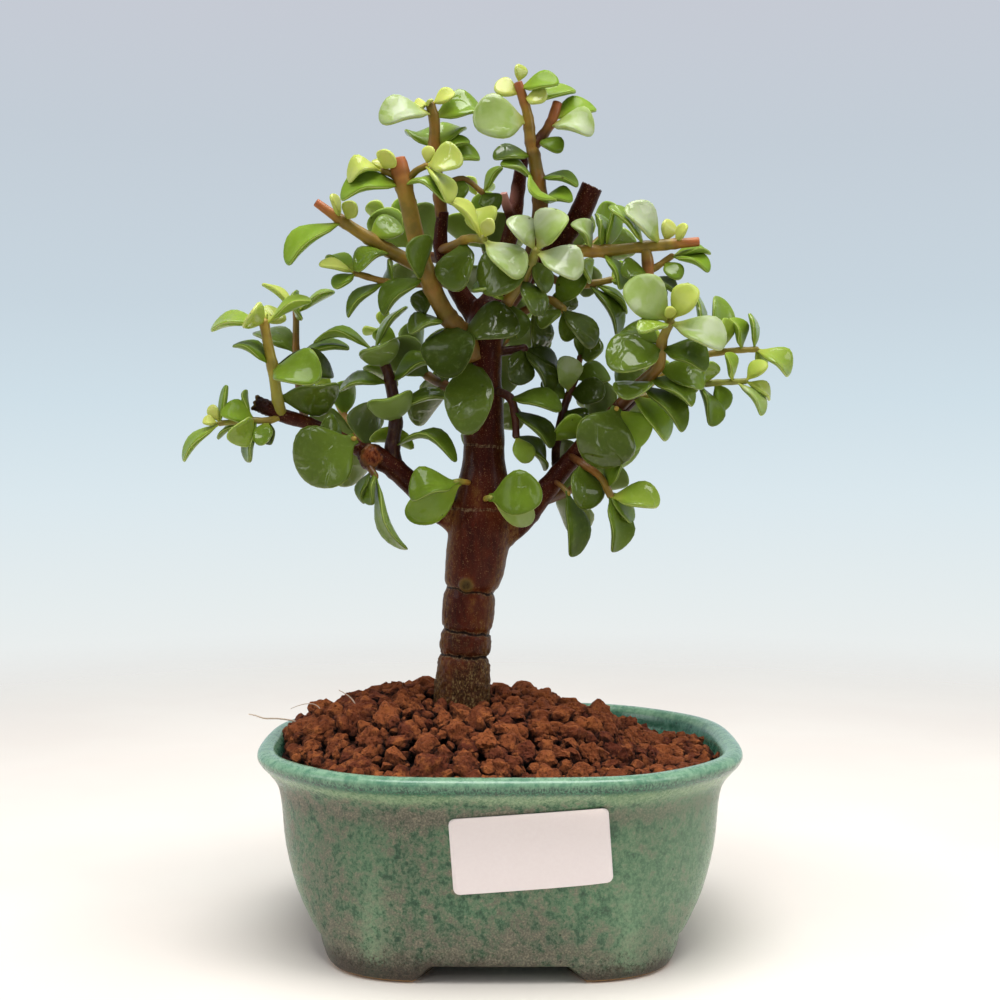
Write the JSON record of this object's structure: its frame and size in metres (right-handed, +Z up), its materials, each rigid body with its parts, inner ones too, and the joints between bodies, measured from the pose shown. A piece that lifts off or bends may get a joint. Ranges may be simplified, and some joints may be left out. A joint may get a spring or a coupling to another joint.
{
  "type": "dwarf jade bonsai",
  "caption": "Small bonsai tree with a ringed woody trunk, pruned limbs and round succulent leaves, in a green glazed oval pot on feet with a mound of clay granules.",
  "frame": {"origin": "under the middle of the bounding box, on the surface that the pot's feet stand on", "axes": "+Z up along the trunk, -Y towards the viewer of the front view, +X to the right"},
  "size_m": [0.1588, 0.1, 0.224],
  "materials": {
    "glaze": "gloss",
    "drain_mesh": "matte",
    "potting_mix": "matte",
    "clay_granules": "matte",
    "label": "satin",
    "bark": "satin",
    "leaf": "gloss"
  },
  "bodies": {
    "root": {"pot": "glaze", "drain_mesh_left": "drain_mesh", "drain_mesh_right": "drain_mesh", "potting_mix": "potting_mix", "clay_granules": "clay_granules", "label": "label", "trunk_and_limbs": "bark", "shoot_far_left": "leaf", "shoot_left_front": "leaf", "shoot_left_back": "leaf", "leaves_left_limb": "leaf", "leaves_left_knob": "leaf", "leaves_crotch_left": "leaf", "leaves_crotch_right": "leaf", "shoot_left_inner": "leaf", "shoot_tall_left": "leaf", "shoot_left_stub": "leaf", "shoot_top_left": "leaf", "shoot_top": "leaf", "shoot_front": "leaf", "shoot_centre": "leaf", "shoot_centre_right": "leaf", "shoot_right_high": "leaf", "shoot_right_middle": "leaf", "shoot_right_rosette": "leaf", "shoot_right_upper_tip": "leaf", "shoot_right_lower_tip": "leaf", "leaves_right_limb": "leaf", "leaves_right_limb_low": "leaf", "leaves_right_crotch": "leaf", "leaves_trunk_right": "leaf", "leaves_trunk_upper": "leaf", "shoot_inner_right": "leaf", "shoot_back_left_low": "leaf", "shoot_back_left": "leaf", "shoot_back_left_high": "leaf", "shoot_back_low": "leaf", "shoot_back": "leaf", "shoot_back_high": "leaf", "shoot_back_right_high": "leaf", "shoot_back_right": "leaf", "shoot_back_right_low": "leaf"}
  },
  "joints": []
}
